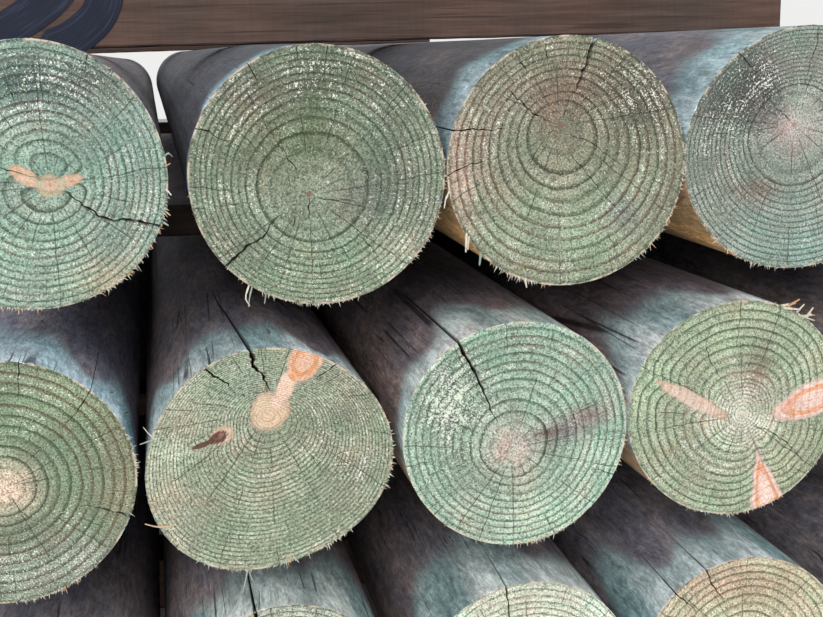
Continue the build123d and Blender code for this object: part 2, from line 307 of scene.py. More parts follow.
# The peeled sides: grey-brown streaks and scuffs, with the treatment's teal by the ends
weathered, tree, shader = new_material("weathered_log_side", 0.66, 0.3)
place = object_place(tree)
warp = noise(place, 9.0, output="Color")
warped = {0: warp, 1: (0.03, 0.03, 0.03), 2: place}
wavy = value_of(tree, "ShaderNodeVectorMath", warped, operation="MULTIPLY_ADD")
broad = noise(wavy, 30.0, 3.0, 0.6, (1, 0.18, 1))
narrow = noise(wavy, 240.0, 4.0, 0.75, (1, 0.10, 1))
fine = noise(wavy, 560.0, 3.0, 0.75, (1, 0.22, 1))
scuffs = noise(wavy, 105.0, 5.0, 0.75, (1, 0.42, 1))
cloud = noise(wavy, 15.0, 4.0, 0.65, (1, 0.3, 1))
side_tone = broad.eased(0.32, 0.68, 0.8, 1.2) * narrow.eased(0.34, 0.66, 0.74, 1.28)
side_tone = side_tone * fine.eased(0.38, 0.62, 0.84, 1.18) * scuffs.eased(0.34, 0.66, 0.76, 1.26)
end_edge = attribute(tree, "end_tint", "Alpha") * 2.2 - (scuffs + (cloud + narrow * 0.3))
dabs = end_edge.eased(0.1, 0.7) * scuffs.eased(0.50, 0.66, 0.0, 0.40)
end_colour = mix(dabs, attribute(tree, "end_tint", "Color"), (0.46, 0.53, 0.53, 1))
tint = attribute(tree, "tint", "Color")
side_colour = mix(cloud.eased(0.50, 0.66, 0.0, 0.5), tint, (0.120, 0.090, 0.086, 1))
side_colour = times(side_colour, (0.78, 0.94, 1.20, 1), broad.eased(0.42, 0.60, 0.55, 0.0))
side_colour = mix(end_edge.eased(-0.18, 0.36), side_colour, end_colour)
side_colour = times(side_colour, grey(side_tone))
hairs = noise(wavy, 300.0, 2.0, 0.6, (1, 0.02, 1)).eased(0.325, 0.35, 0.8, 0.0)
hairs = noise(place, 22.0, 3.0, 0.6, (1, 0.3, 1)).eased(0.45, 0.60) * hairs
side_colour = mix(hairs, side_colour, (0.022, 0.019, 0.021, 1))
flecks = scuffs.eased(0.56, 0.66) * fine.eased(0.5, 0.62)
side_colour = mix(flecks * 0.2, side_colour, (0.42, 0.40, 0.38, 1))
grain_place = value_of(tree, "ShaderNodeMapping", {"Vector": place, "Scale": (44, 0.45, 44)})
splits = value_of(
    tree, "ShaderNodeTexVoronoi", {"Vector": grain_place, "Scale": 1.0}, "Distance", feature="DISTANCE_TO_EDGE",
)
splits = splits.eased(0.005, 0.018, 1.0, 0.0) * noise(place, 7.0).eased(0.50, 0.62)
side_colour = mix(splits * 0.8, side_colour, (0.02, 0.015, 0.015, 1))
# Painted shade: near black in the checks' notches along the side.
side_colour = mix(attribute(tree, "crack").eased(0.05, 0.75), side_colour, (0.010, 0.008, 0.008, 1))
finish_surface(shader, side_colour, narrow * 0.9 + fine * 0.5 - splits, 0.0014)

mm = 0.001
full_turn = 2 * math.pi
columns = 208
face_rows = 66
back_rows = 14
side_steps = mm * np.array([0.7, 2, 5, 10, 18, 30, 48, 72, 104, 146, 200, 270, 360, 480, 631])
bend_at = 0.631
harmonics = 6
groove_depth = 0.016
notch_depth = 0.012
lip_length = 0.022
far_pith_share = 0.8
column_angles = np.arange(columns) * full_turn / columns
table_angles = np.linspace(0, full_turn, 721)


def lengths(steps):
    return np.hypot(*steps.T)


def bearings(steps):
    return np.arctan2(*steps.T[::-1])


def nearest_turn(angle):
    """The same angle within half a turn of zero."""
    return (angle + math.pi) % full_turn - math.pi


def points_at(flat, y):
    """Points from their x and z, at that place along the log."""
    return np.stack([flat[:, 0], np.broadcast_to(y, len(flat)), flat[:, 1]], -1)


def tube_faces(rows, around, start=0):
    """The quads between closed rows of points, from the number of the first point."""
    faces = []
    for row in range(rows - 1):
        for i in range(around):
            a, b = start + row * around + i, start + row * around + (i + 1) % around
            faces.append((a, b, b + around, a + around))
    return faces


def build_mesh(name, spots, faces, materials, smooth_to=None, **fields):
    """A mesh with a value, direction or colour a point for each field, smooth up to that angle."""
    mesh = bpy.data.meshes.new(name)
    mesh.from_pydata(np.array(spots).tolist(), [], faces)
    for material in materials:
        mesh.materials.append(material)
    for key, field in fields.items():
        field = np.array(field, dtype=np.float32).ravel()
        kind, slot = {
            1: ("FLOAT", "value"), 3: ("FLOAT_VECTOR", "vector"), 4: ("FLOAT_COLOR", "color"),
        }[len(field) // len(spots)]
        mesh.attributes.new(key, kind, "POINT").data.foreach_set(slot, field)
    if smooth_to:
        mesh.polygons.foreach_set("use_smooth", [True] * len(faces))
    mesh.update()
    if smooth_to:
        mesh.set_sharp_from_angle(angle=math.radians(smooth_to))
    return mesh


class LogShape:
    """The outline of one log at its ends and bend, read from its solid."""

    def __init__(self, node):
        corners = np.array([v.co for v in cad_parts[node].data.vertices])
        near, far = corners[:, 1].min(), corners[:, 1].max()
        self.levels = [near, near + bend_at, far]
        self.middles = []
        self.waves = []
        for level in self.levels:
            rim = corners[np.abs(corners[:, 1] - level) < 0.001][:, (0, 2)]
            middle = (rim.min(0) + rim.max(0)) / 2
            reach = lengths(rim - middle)
            rim = rim[reach > 0.9 * reach.max()] - middle
            self.middles.append(middle)
            self.waves.append(np.linalg.lstsq(self.terms(bearings(rim)), lengths(rim), rcond=None)[0])

    def terms(self, angle):
        parts = [np.ones_like(angle)]
        for turn in range(1, harmonics):
            parts += [np.cos(turn * angle), np.sin(turn * angle)]
        return np.stack(parts, -1)

    def middle_at(self, y):
        return np.array([np.interp(y, self.levels, part) for part in zip(*self.middles)])

    def rim(self, angle, y):
        """Points on the log's surface at those angles and that length, as x and z."""
        wave = np.array([np.interp(y, self.levels, part) for part in zip(*self.waves)])
        size = self.terms(angle) @ wave
        return self.middle_at(y) + np.stack([np.cos(angle), np.sin(angle)], -1) * size[..., None]


def waver(angle, shift, seed, turns):
    """A smooth random curve round the log, from about -1 to 1."""
    chance = np.random.default_rng(seed)
    total = 0
    for turn in turns:
        start, speed = chance.uniform(0, 6.3), chance.uniform(-1, 1)
        total = total + math.sqrt(1 / len(turns)) * np.sin(turn * angle + start + shift * speed)
    return total


class Check:
    """A drying check: a groove that opens towards the rim and may run along the side."""

    def __init__(self, points, wide, run=0.0, lean=0.0, depth=1.0):
        self.points = points
        self.wide = wide
        self.run = run
        self.lean = math.radians(lean)
        # depth only sets how dark the check's painted shade is. The groove's own depth follows its width.
        self.depth = depth
        self.notch = min(notch_depth, 6 * wide * mm)

    def place_on(self, pith, rim_table):
        """Works out the check's path as shares of the way from pith to rim."""
        bearing = np.unwrap(bearings(rim_table - pith))
        length = lengths(rim_table - pith)
        shares, angles = [], []
        for point in self.points:
            step = np.array(point) * mm - pith
            turn = bearing[0] + (math.atan2(step[1], step[0]) - bearing[0]) % full_turn
            angles.append(np.interp(turn, bearing, table_angles))
            shares.append(math.hypot(*step) / np.interp(turn, bearing, length))
        order = np.argsort(shares)
        self.shares = np.array(shares)[order]
        self.angles = np.unwrap(np.array(angles)[order])
        self.opens = self.shares[-1] > 0.93
        self.reach = self.run * mm
        if self.opens:
            self.shares[-1] = 1.0
            self.reach = max(self.reach, 0.03)
        self.column = int(round(self.angles[-1] / full_turn * columns)) % columns
        self.size = float(np.interp(self.angles[-1] % full_turn, table_angles[:-1], length[:-1]))

    def path(self, share):
        """The check's angle round the rim and its width at that share of the way out."""
        start, end = self.shares[0], self.shares[-1]
        wander = np.sin(share * 21 + self.wide * 9) + 0.8 * np.sin(share * 47 + self.run)
        wander = (wander + 0.5 * np.sin(share * 83 + self.wide * 23)) * (1 - share) ** 0.3
        angle = np.interp(share, self.shares, self.angles)
        angle = angle + 0.0006 * wander / max(share * self.size, 0.012)
        if not start < share < end + 1e-6:
            return angle, 0.0
        along = min(1.0, (share - start) / (end - start))
        swell = along ** 0.55 if self.opens else math.sin(math.pi * along) ** 0.5
        swell = swell * (1 + 0.22 * np.sin(share * 37 + self.wide * 5) + 0.15 * np.sin(share * 71))
        return angle, self.wide * mm * swell

    def around(self, reach):
        """The columns on both sides of the check's own, with their steps from it."""
        return [(i, (self.column + i) % columns) for i in range(-reach, reach + 1)]


def spread_columns(checks):
    """Gives each check a column of its own, with a free one on either side."""
    taken = set()
    for check in checks:
        while taken & {spot for _, spot in check.around(1)}:
            check.column = (check.column + 1) % columns
        taken |= {spot for _, spot in check.around(1)}


def drawn_to_checks(checks, share):
    anchors = []
    for check in checks:
        angle, opening = check.path(share)
        home = column_angles[check.column]
        half = max(opening / 2 / max(check.size * share, 0.002), 1e-4)
        for i, spot in check.around(1):
            own = nearest_turn(home + i * half - column_angles[spot])
            anchors.append((spot, own + nearest_turn(angle - home)))
    spots, drifts = np.array(sorted(anchors)).T
    spots = np.concatenate([[spots[-1] - columns], spots, [spots[0] + columns]])
    drifts = np.concatenate([[drifts[-1]], drifts, [drifts[0]]])
    return np.maximum.accumulate(column_angles + np.interp(np.arange(columns), spots, drifts))


def face_points(shape, pith, checks, seed):
    """Rows of points on the near face from the pith outwards, with the cracks in them and the painted shade of each
    crack.
    """
    near, middle = shape.levels[0], shape.middles[0]
    rows, cracks = [], []
    for share in 1 - (1 - np.linspace(0, 1, face_rows + 1)[1:]) ** 1.15:
        angle = drawn_to_checks(checks, share)
        flat = pith + share * (shape.rim(angle, near) - middle - pith)
        depth, crack = np.zeros((2, columns))
        for check in checks:
            opening = check.path(share)[1]
            depth[check.column] = min(groove_depth, 7 * opening)
            crack[check.column] = min(1.0, opening / 0.0008) * check.depth
            if check.opens:
                pull = check.notch * math.exp((share - 1) * check.size / lip_length)
                flat[check.column] *= 1 - pull / max(math.hypot(*flat[check.column]), 0.01)
        wave = 0.0003 * waver(angle, share * 9, seed + 3, (7, 11, 17))
        wave = wave + 0.00025 * waver(angle, share * 60, seed + 5, (31, 43, 57))
        depth = depth + np.maximum(0.0004 + wave, 0.0) * min(1.0, share * 4)
        rows.append(points_at(flat + middle, near + depth))
        cracks.append(crack)
    return rows, cracks


def side_points(shape, checks, seed):
    """Rows of points along the side, which the checks notch and the saw left ragged."""
    near, far = shape.levels[0], shape.levels[-1]
    rows, cracks = [], []
    plain_steps = np.linspace(0.85, far - near - 0.03, 7)
    for y in [*side_steps, *plain_steps, far - near - 0.004, far - near - 0.0008]:
        angle = drawn_to_checks(checks, 1.0)
        along = np.full(columns, near + y)
        notch, crack = np.zeros((2, columns))
        for check in checks:
            gone = min(1.0, y / check.reach) if check.reach else 1.0
            wide = check.wide * mm * (1 - gone) ** 0.7 if check.opens else 0.0
            half = max(wide / 2 / check.size, 1e-4)
            centre = angle[check.column]
            for i, spot in check.around(8):
                if abs(i) < 2:
                    angle[spot] = centre + i * half + check.lean * gone
                else:
                    angle[spot] += check.lean * gone * (9 - abs(i)) / 8
            if check.opens and gone < 1:
                notch[check.column] = check.notch * (1 - gone) ** 0.5
                # Painted shade in the notch, strongest at the near end.
                crack[check.column] = min(1.0, (1 - gone) * 4)
                lip_depth = min(groove_depth, 7 * check.wide * mm)
                along[check.column] += lip_depth * math.exp(-y / lip_length)
        shown = shape.rim(angle, near + y)
        outwards = shown - shape.middle_at(near + y)
        outwards = outwards / lengths(outwards)[:, None]
        ragged = 0.0007 * waver(angle, 0, seed + 9, (37, 53, 71, 89)) * math.exp(-y / 0.002)
        ragged = ragged - 0.0004 * math.exp(-y / 0.001)
        ridge = 0.00025 * waver(angle, y * 3, seed + 11, (19, 29, 47)) - 0.00035
        shift = ragged + ridge * min(1.0, y / 0.01) - notch
        rows.append(points_at(shown + outwards * shift[:, None], along))
        cracks.append(crack)
    return rows, cracks


def rim_bearings(steps):
    """The bearings of steps round a rim in rising order, with the rim's angles there."""
    bearing = bearings(steps[:-1]) % full_turn
    order = np.argsort(bearing)
    angle = bearing[order] + nearest_turn(table_angles[order] - bearing[order])
    both = np.stack([bearing[order], angle])
    return np.concatenate([both[:, -1:] - full_turn, both, both[:, :1] + full_turn], 1)


def log_mesh(name, shape, seed, pith, rings, base, side, checks, stains_and_shade, knots=None):
    """The closed mesh of one log with its attributes, from its near face to its far end."""
    near, far = shape.levels[0], shape.levels[-1]
    middle, far_middle = shape.middles[0], shape.middles[-1]
    knots = [(pith, (4.0, 3.6), 0, pith_red, 0.0)] if knots is None else knots
    pith = np.array(pith) * mm
    far_pith = far_middle + pith * far_pith_share
    rim_table = shape.rim(table_angles, near) - middle
    for check in checks:
        check.place_on(pith, rim_table)
    spread_columns(checks)
    face, face_cracks = face_points(shape, pith, checks, seed)
    sides, side_cracks = side_points(shape, checks, seed)
    back = []
    for share in np.linspace(1, 0, back_rows + 1)[:-1]:
        back.append(points_at(far_pith + share * (shape.rim(column_angles, far) - far_pith), far))
    rows = face + sides + back
    first_spot, last_spot = points_at(np.array([pith + middle, far_pith]), np.array([near, far]))
    spots = np.concatenate([[first_spot], *rows, [last_spot]])
    last = len(spots) - 1
    pairs = [(a, (a + 1) % columns) for a in range(columns)]
    faces = [(0, 1 + a, 1 + b) for a, b in pairs]
    faces += [(a, d, c, b) for a, b, c, d in tube_faces(len(rows), columns, 1)]
    faces += [(last, last - columns + b, last - columns + a) for a, b in pairs]

    parts = 1 + face_rows * columns, len(sides) * columns, back_rows * columns + 1
    part = np.repeat([0, 1, 2], parts)
    on_far = (part == 2)[:, None]
    flat = spots[:, (0, 2)] - np.where(on_far, far_middle, middle)
    from_pith = flat - np.where(on_far, pith * far_pith_share, pith)
    from_near = spots[:, 1] - near
    angle = bearings(flat)
    reach = lengths(from_pith) / mm
    edge_angle = np.interp(bearings(from_pith) % full_turn, *rim_bearings(rim_table - pith))
    edge_reach = lengths(shape.rim(edge_angle, near) - middle - pith) / mm
    ring = np.interp(reach / edge_reach * 106.0, *zip(*rings))
    knot = np.full(len(spots), -1.0)
    knot_tint = np.tile([0.62, 0.42, 0.30, 0.0], (len(spots), 1))
    for (x, z), (half_long, half_wide), lean, colour, taper in knots:
        c, s = math.cos(math.radians(lean)), math.sin(math.radians(lean))
        along = (flat / mm - (x, z)) @ (c, s) / half_long
        across = (flat / mm - (x, z)) @ (-s, c) / half_wide / np.clip(1 - taper + taper * along, 0.12, 2)
        away = np.hypot(along, across)
        knot_tint[1 - away > np.minimum(knot, 0.0)] = colour
        knot = np.maximum(knot, 1 - away)
        ring = ring + 1.1 * np.exp(-(away / 1.5) ** 2)
    knot[from_near > 0.05] = -1.0

    # The face colour: its base colour, then its stains, which on the top row are partly painted shade.
    tint = np.tile([*base, 0.5], (len(spots), 1))
    for (x, z), (wide, high), colour, share in stains_and_shade:
        weight = share * np.exp(-(((flat / mm - (x, z)) / (wide, high)) ** 2).sum(1))
        weight = weight * (1 + 0.25 * waver(angle, reach / 30, seed + 21, (3, 5, 9)))
        weight = np.clip(weight, 0, 1)[:, None]
        tint = tint * (1 - weight) + np.array(colour) * weight
    tint[:, :3] *= 1 + 0.05 * waver(angle, reach / 18, seed + 31, (2, 3, 5))[:, None]
    side_tint, end_tint = side(angle, from_near, seed)
    tint[part == 1] = side_tint[part == 1]
    mesh = build_mesh(
        name, spots, faces, (end_grain, weathered), 38, ring=ring, knot=knot, knot_tint=knot_tint,
        edge=np.maximum(edge_reach - reach, 0.0) * mm, ray=points_at(from_pith, 0.0), tint=tint,
        crack=np.concatenate([[0], *face_cracks, *side_cracks, np.zeros(parts[2])]), end_tint=end_tint,
    )
    kinds = np.repeat([0, 1, 0], np.array([face_rows, len(sides) + 1, back_rows]) * columns)
    mesh.polygons.foreach_set("material_index", kinds.tolist())
    return mesh


mint = (0.25, 0.39, 0.29, 0.7)
teal = (0.16, 0.27, 0.24, 0.4)
grey_brown = (0.085, 0.105, 0.07, 0.7)
dark_green = (0.10, 0.135, 0.095, 0.6)
tan = (0.36, 0.28, 0.18, 0.5)
cream = (0.46, 0.46, 0.35, 0.9)
pink = (0.42, 0.28, 0.23, 0.4)
brown = (0.13, 0.085, 0.06, 0.3)
purple = (0.15, 0.12, 0.13, 0.5)
yellow_green = (0.33, 0.39, 0.26, 0.4)
salmon = (0.58, 0.44, 0.33, 0.1)
pale_pink = (0.62, 0.50, 0.42, 0.0)
knot_pink = (0.80, 0.63, 0.59, 1.0)
orange = (0.72, 0.49, 0.37, 1.0)
# Dark brown wood with painted shade, for a knot hole that the mesh does not hollow.
hole_shade_brown = (0.10, 0.045, 0.035, 0.0)
pith_red = (0.19, 0.095, 0.07, 0.0)

side_grey = np.array([0.175, 0.152, 0.158])
side_teal = np.array([0.18, 0.275, 0.285])
side_pale = np.array([0.52, 0.575, 0.57])
side_tan = np.array([0.72, 0.40, 0.16])
tan_spread = 42.0
tan_length = 0.6


def side_colours(tan_share=0.0, tan_angle=215.0, teal_share=0.8, dark=1.0, reach_mm=70.0, hue=(1.0, 1.0, 1.0)):
    """Paints a log's side: teal and pale by the near end, grey-brown beyond, tan on one flank, with painted light: the
    pale is kept to the top, and the tone is set per log.
    """
    def paint(angle, from_near, seed):
        drift = waver(angle, from_near * 3, seed + 41, (2, 5, 9))
        # upper is 1 on the log's top and 0 under it. The pale by the near end is kept to the top, and the teal reaches
        # further there: pale saw fuzz and teal treatment, with painted skylight on the top.
        upper = np.clip(0.55 + 0.75 * np.sin(angle), 0, 1)
        turn = nearest_turn(angle - math.radians(tan_angle))
        tan_weight = np.exp(-(np.degrees(turn) / tan_spread) ** 2) * np.exp(-from_near / tan_length)
        tan_weight = np.clip(tan_share * tan_weight, 0, 1)
        reach = reach_mm * mm * np.clip(1 + 0.5 * drift, 0.25, 2) * (0.45 + 0.85 * upper)
        end_share = teal_share * np.exp(-np.clip(from_near / np.maximum(reach, 0.008), 0, 30) ** 1.2)
        end_share = np.clip(end_share * (1 - 0.9 * tan_weight), 0, 1)
        pale_share = np.exp(-(from_near / (0.6 * reach_mm * mm)) ** 1.1)
        pale_share = pale_share * np.clip(0.6 + 0.6 * waver(angle, 0, seed + 47, (3, 7, 12)), 0, 1)
        end_colour = side_teal + (side_pale - side_teal) * (pale_share * upper)[:, None]
        # dark is a lightness factor set per log: low on the top row and up to 1.7 on the lower rows. It is partly the
        # wood's own tone and partly painted light and shade.
        end_colour = end_colour * (0.7 + 0.5 * dark) * np.array(hue)
        tone = dark * (1 + 0.14 * waver(angle, from_near * 2, seed + 43, (3, 4, 7)))
        colour = side_grey * tone[:, None] * np.array(hue)
        colour = colour + (side_tan - colour) * tan_weight[:, None]
        return (
            np.column_stack([np.clip(colour, 0, 1), np.full(len(angle), 0.4)]),
            np.column_stack([np.clip(end_colour, 0, 1), end_share]),
        )
    return paint


def even_rings(number):
    """Ring counts from the pith, a little wider near the middle."""
    return [(0.0, 0.0), (3.0, 0.6), (35.0, number * 0.27), (70.0, number * 0.6), (106.0, float(number))]


# The top row's faces have darker base colours than the lower rows' faces, and darker stains on their upper halves.
# These are partly the weathered wood's own grey-brown and partly painted shade.
logs = {
    "log_a1": dict(
        pith=(13, -7), rings=even_rings(15), base=(0.205, 0.27, 0.22), side=side_colours(dark=0.8),
        checks=[
            Check([(21, -12), (35, -22), (48, -34), (56, -37), (68, -38), (82, -41), (101, -47)], 2.6, 45, depth=0.8),
            Check([(-16, -48), (-27, -38)], 1.6), Check([(5, -3), (-24, 9), (-60, 24)], 0.9),
            Check([(46, 77), (50, 93)], 0.8), Check([(-5, 46), (-13, 81)], 0.6), Check([(13, 53), (13, 95)], 0.6),
        ],
        knots=[
            ((-6, 1), (14, 6.0), -33, salmon, -0.1), ((29, -4), (9.5, 4.8), 12, salmon, 0.0),
            ((13, -8), (11.5, 10.0), 0, (0.44, 0.42, 0.31, 0.0), 0.0),
            ((13, -7), (5.0, 4.6), 0, (0.56, 0.40, 0.32, 0.0), 0.0),
        ],
        stains_and_shade=[
            ((31, 74), (75, 26), (0.07, 0.10, 0.09, 0.75), 0.88), ((53, -92), (40, 22), tan, 0.6),
            ((-20, -60), (45, 35), mint, 0.35), ((73, 19), (30, 30), teal, 0.3), ((-30, 12), (34, 10), mint, 0.6),
        ],
    ),
    "log_a2": dict(
        pith=(-9, -15), rings=[(0, 0), (23, 1), (35, 2), (54, 3.6), (80, 7.6), (106, 13)], base=(0.17, 0.20, 0.145),
        side=side_colours(dark=0.5, reach_mm=105, hue=(0.84, 1.0, 1.1)),
        checks=[
            Check([(-34, -30), (-50, -49), (-62, -55), (-69, -60), (-82, -72)], 2.4, 40, depth=0.7),
            Check([(-9, -18), (-10, -36)], 0.9), Check([(-20, -32), (-25, -42)], 0.7),
            Check([(-4, -17), (17, -20), (34, -24)], 0.8), Check([(-12, -6), (-24, 15), (-31, 28)], 0.9),
            Check([(-44, 71), (-47, 79), (-55, 96)], 1.1), Check([(-67, 31), (-79, 34), (-89, 41), (-103, 46)], 1.1),
            Check([(-13, 94), (-14, 110)], 0.9), Check([(5, 70), (12, 106)], 0.8),
            Check([(52, 43), (61, 56), (78, 74)], 0.9), Check([(31, -50), (49, -72)], 0.7),
        ],
        knots=[((-9, -14), (2.6, 1.5), 65, pith_red, 0.0)],
        stains_and_shade=[
            ((-55, 62), (46, 34), (0.115, 0.10, 0.08, 0.35), 0.8), ((10, 85), (70, 26), grey_brown, 0.8),
            ((61, 10), (26, 50), dark_green, 0.6), ((-20, 35), (50, 34), (0.10, 0.115, 0.06, 0.5), 0.75),
            ((51, -15), (26, 24), purple, 0.35), ((-12, -83), (80, 30), (0.17, 0.23, 0.15, 0.6), 0.7),
            ((79, -67), (26, 22), cream, 0.35),
        ],
    ),
    "log_a3": dict(
        pith=(-8, 32), rings=even_rings(12), base=(0.19, 0.19, 0.135),
        side=side_colours(1.0, 222, 0.9, 0.3, 90, (0.96, 1.0, 1.05)),
        checks=[
            Check([(3, 58), (11, 71), (20, 95), (25, 108)], 3.0, 60, depth=0.5),
            Check([(-5, 39), (2, 48), (3, 54)], 1.2), Check([(-1, 26), (16, 20), (30, 9), (49, -4)], 0.8),
            Check([(-54, 31), (-81, 32), (-107, 32)], 1.4, 110), Check([(-15, 35), (-34, 46), (-56, 69)], 0.8),
            Check([(-14, 29), (-23, 19), (-43, -17)], 0.9), Check([(-11, 19), (-5, -10)], 0.6),
            Check([(-4, 20), (21, -14), (36, -34), (53, -48)], 0.9), Check([(32, -65), (42, -100)], 0.8),
            Check([(-62, 8), (-88, 3), (-109, -6)], 1.2, 30, depth=0.6), Check([(-38, 79), (-46, 92)], 0.8),
            Check([(-19, 87), (-21, 101)], 0.7),
        ],
        knots=[((-7, 32), (2.8, 1.5), -20, pith_red, 0.0)],
        stains_and_shade=[
            ((2, 62), (52, 30), (0.16, 0.105, 0.08, 0.5), 0.7), ((-61, 57), (30, 34), (0.17, 0.15, 0.12, 0.6), 0.5),
            ((-99, 0), (20, 46), pink, 0.5), ((67, 52), (36, 44), (0.075, 0.075, 0.05, 0.8), 0.8),
            ((-10, -64), (74, 38), (0.26, 0.335, 0.23, 0.6), 0.75), ((52, -48), (16, 15), (0.12, 0.15, 0.15, 0.4), 0.6),
        ],
    ),
    "log_a4": dict(
        pith=(-5, 22), rings=[(0, 0), (24, 1), (37, 2), (45, 3), (70, 8.5), (106, 17)], base=(0.21, 0.235, 0.20),
        side=side_colours(1.0, 225, 0.95, 0.95, 110, (0.98, 1.0, 1.04)),
        checks=[
            Check([(-8, 25), (-24, 38)], 0.8), Check([(-9, 20), (-40, -3)], 0.7), Check([(-4, 27), (-4, 49)], 0.6),
            Check([(5, 58), (8, 76), (14, 89), (15, 109)], 1.3, 35, depth=0.6),
            Check([(-35, 65), (-48, 74), (-65, 92)], 1.2, 30, depth=0.6), Check([(19, -47), (27, -85)], 0.8),
        ],
        knots=[((-5, 22), (2.6, 2.2), 0, (0.34, 0.22, 0.20, 0.0), 0.0)],
        stains_and_shade=[
            ((-5, 22), (24, 22), (0.44, 0.37, 0.34, 0.7), 0.75), ((-6, -85), (60, 34), teal, 0.5),
            ((-60, 50), (46, 48), (0.05, 0.047, 0.047, 0.85), 0.92), ((-38, -33), (26, 10), brown, 0.5),
        ],
    ),
    "log_a5": dict(
        pith=(6, 4), rings=even_rings(14), base=(0.17, 0.225, 0.155), side=side_colours(0.5, 220),
        checks=[Check([(20, 10), (58, 38), (90, 58)], 2.2, 60), Check([(-10, 2), (-48, -14)], 0.8)],
        stains_and_shade=[((-40, 40), (50, 40), grey_brown, 0.5), ((20, -70), (60, 36), mint, 0.4)],
    ),
    "log_b1": dict(
        pith=(-4, -2), rings=[(0, 0), (18, 2), (36, 4), (106, 12)], base=(0.155, 0.19, 0.125),
        side=side_colours(teal_share=1.0, dark=1.7, reach_mm=110, hue=(1.02, 1.08, 1.18)),
        checks=[
            Check([(55, -24), (71, -29), (87, -35), (99, -41)], 2.0, 40, depth=0.5),
            Check([(46, 43), (55, 52), (64, 63), (73, 75)], 1.4, 175, -1),
            Check([(14, 68), (17, 101)], 1.0, 30), Check([(1, -1), (25, 6)], 0.7), Check([(-1, -8), (14, -33)], 0.7),
        ],
        knots=[],
        stains_and_shade=[
            ((-3, -3), (21, 20), (0.64, 0.46, 0.36, 0.2), 1.2), ((23, -84), (80, 30), (0.22, 0.23, 0.19, 0.9), 0.8),
            ((97, 0), (24, 60), (0.24, 0.19, 0.12, 0.4), 0.6), ((60, 70), (50, 26), (0.24, 0.25, 0.15, 0.6), 0.6),
            ((15, 45), (46, 30), (0.14, 0.22, 0.14, 0.4), 0.6),
        ],
    ),
    "log_b2": dict(
        pith=(0, 43), rings=[(0, 0), (22, 6), (60, 18), (106, 34)], base=(0.25, 0.275, 0.195),
        side=side_colours(0.2, 225, 1.0, 1.05, 100, (1.15, 1.09, 1.09)),
        checks=[
            Check([(2, 62), (-10, 84), (-13, 101)], 2.6, 285, 9.5),
            Check([(-28, 66), (-42, 78), (-52, 86), (-56, 98)], 1.7, 75),
            Check([(35, 68), (52, 75), (64, 83)], 0.8), Check([(-30, 50), (-66, 58)], 0.7),
            Check([(20, 20), (48, -22)], 0.7),
        ],
        knots=[
            ((1, 44), (19, 17), 40, (0.63, 0.51, 0.38, 0.0), 0.0),
            ((15, 63), (20, 9.5), 60, (0.76, 0.60, 0.50, 0.0), 0.15), ((33, 85), (19, 15), 50, orange, 0.0),
            # A knot hole with a tail, drawn flat: dark brown wood and painted shade.
            ((-41, 26), (11, 8.0), 25, (0.60, 0.46, 0.36, 0.0), 0.0), ((-45, 24), (9, 5.5), 25, hole_shade_brown, 0.1),
            ((-42, 26), (3, 2.0), 60, (0.24, 0.13, 0.10, 0.0), 0.0), ((-59, 19), (10, 2.4), 16, hole_shade_brown, 0.0),
        ],
        stains_and_shade=[
            ((-75, 60), (34, 30), (0.36, 0.36, 0.27, 0.6), 0.7), ((-82, 14), (26, 8), cream, 0.7),
            ((-93, -50), (30, 40), cream, 0.4), ((66, 0), (42, 66), (0.185, 0.195, 0.14, 0.8), 0.75),
            ((0, -70), (60, 34), (0.25, 0.31, 0.21, 0.7), 0.4), ((-20, 70), (40, 22), (0.27, 0.34, 0.26, 0.3), 0.5),
        ],
    ),
    "log_b3": dict(
        pith=(-4, -12), rings=[(0, 0), (12, 0.6), (23, 2), (35, 3.2), (54, 5.2), (106, 12.5)], base=(0.27, 0.37, 0.29),
        side=side_colours(0.6, 215, 1.0, 1.05, 90, (1.28, 1.15, 1.11)),
        checks=[
            Check([(-19, 16), (-26, 31), (-34, 53), (-39, 63), (-46, 76), (-53, 91)], 3.6, 330, 1.0),
            Check([(26, 35), (33, 47), (41, 62)], 0.8), Check([(30, 70), (33, 82), (35, 95), (31, 104)], 1.0, 30),
            Check([(65, -39), (80, -42), (97, -49)], 1.0), Check([(-60, -51), (-78, -68)], 0.9),
        ],
        knots=[],
        stains_and_shade=[
            ((-4, -12), (22, 21), (0.42, 0.36, 0.33, 0.8), 0.9), ((-4, -12), (52, 50), (0.33, 0.27, 0.21, 0.4), 0.4),
            ((0, 78), (70, 30), (0.18, 0.25, 0.19, 0.6), 0.7), ((-60, 25), (34, 50), (0.12, 0.15, 0.115, 1.4), 0.85),
            ((40, 0), (26, 12), purple, 0.7), ((68, 14), (24, 10), (0.24, 0.15, 0.15, 0.4), 0.6),
            ((29, -1), (9, 6), brown, 0.6), ((31, -16), (9, 6), brown, 0.5),
            ((-8, -84), (70, 30), (0.35, 0.43, 0.33, 0.5), 0.7),
        ],
    ),
    "log_b4": dict(
        pith=(7, -6), rings=[(0, 0), (34, 10), (106, 19)], base=(0.28, 0.32, 0.22),
        side=side_colours(0.6, 215, 1.0, 1.2, 95, (1.16, 1.05, 1.05)),
        checks=[
            Check([(-3, 50), (1, 76), (2, 105)], 1.2, 40), Check([(-15, 29), (-26, 48), (-33, 65), (-25, 90)], 0.9),
            Check([(12, -12), (37, -25), (45, -31), (70, -54)], 0.9), Check([(59, -63), (82, -76)], 1.0, 20),
        ],
        knots=[
            ((-45, 14), (43, 8.0), -30, pale_pink, 0.1), ((78, 2), (42, 20), 17, knot_pink, 0.12),
            ((34, -86), (44, 26), -76, knot_pink, 0.42),
        ],
        stains_and_shade=[
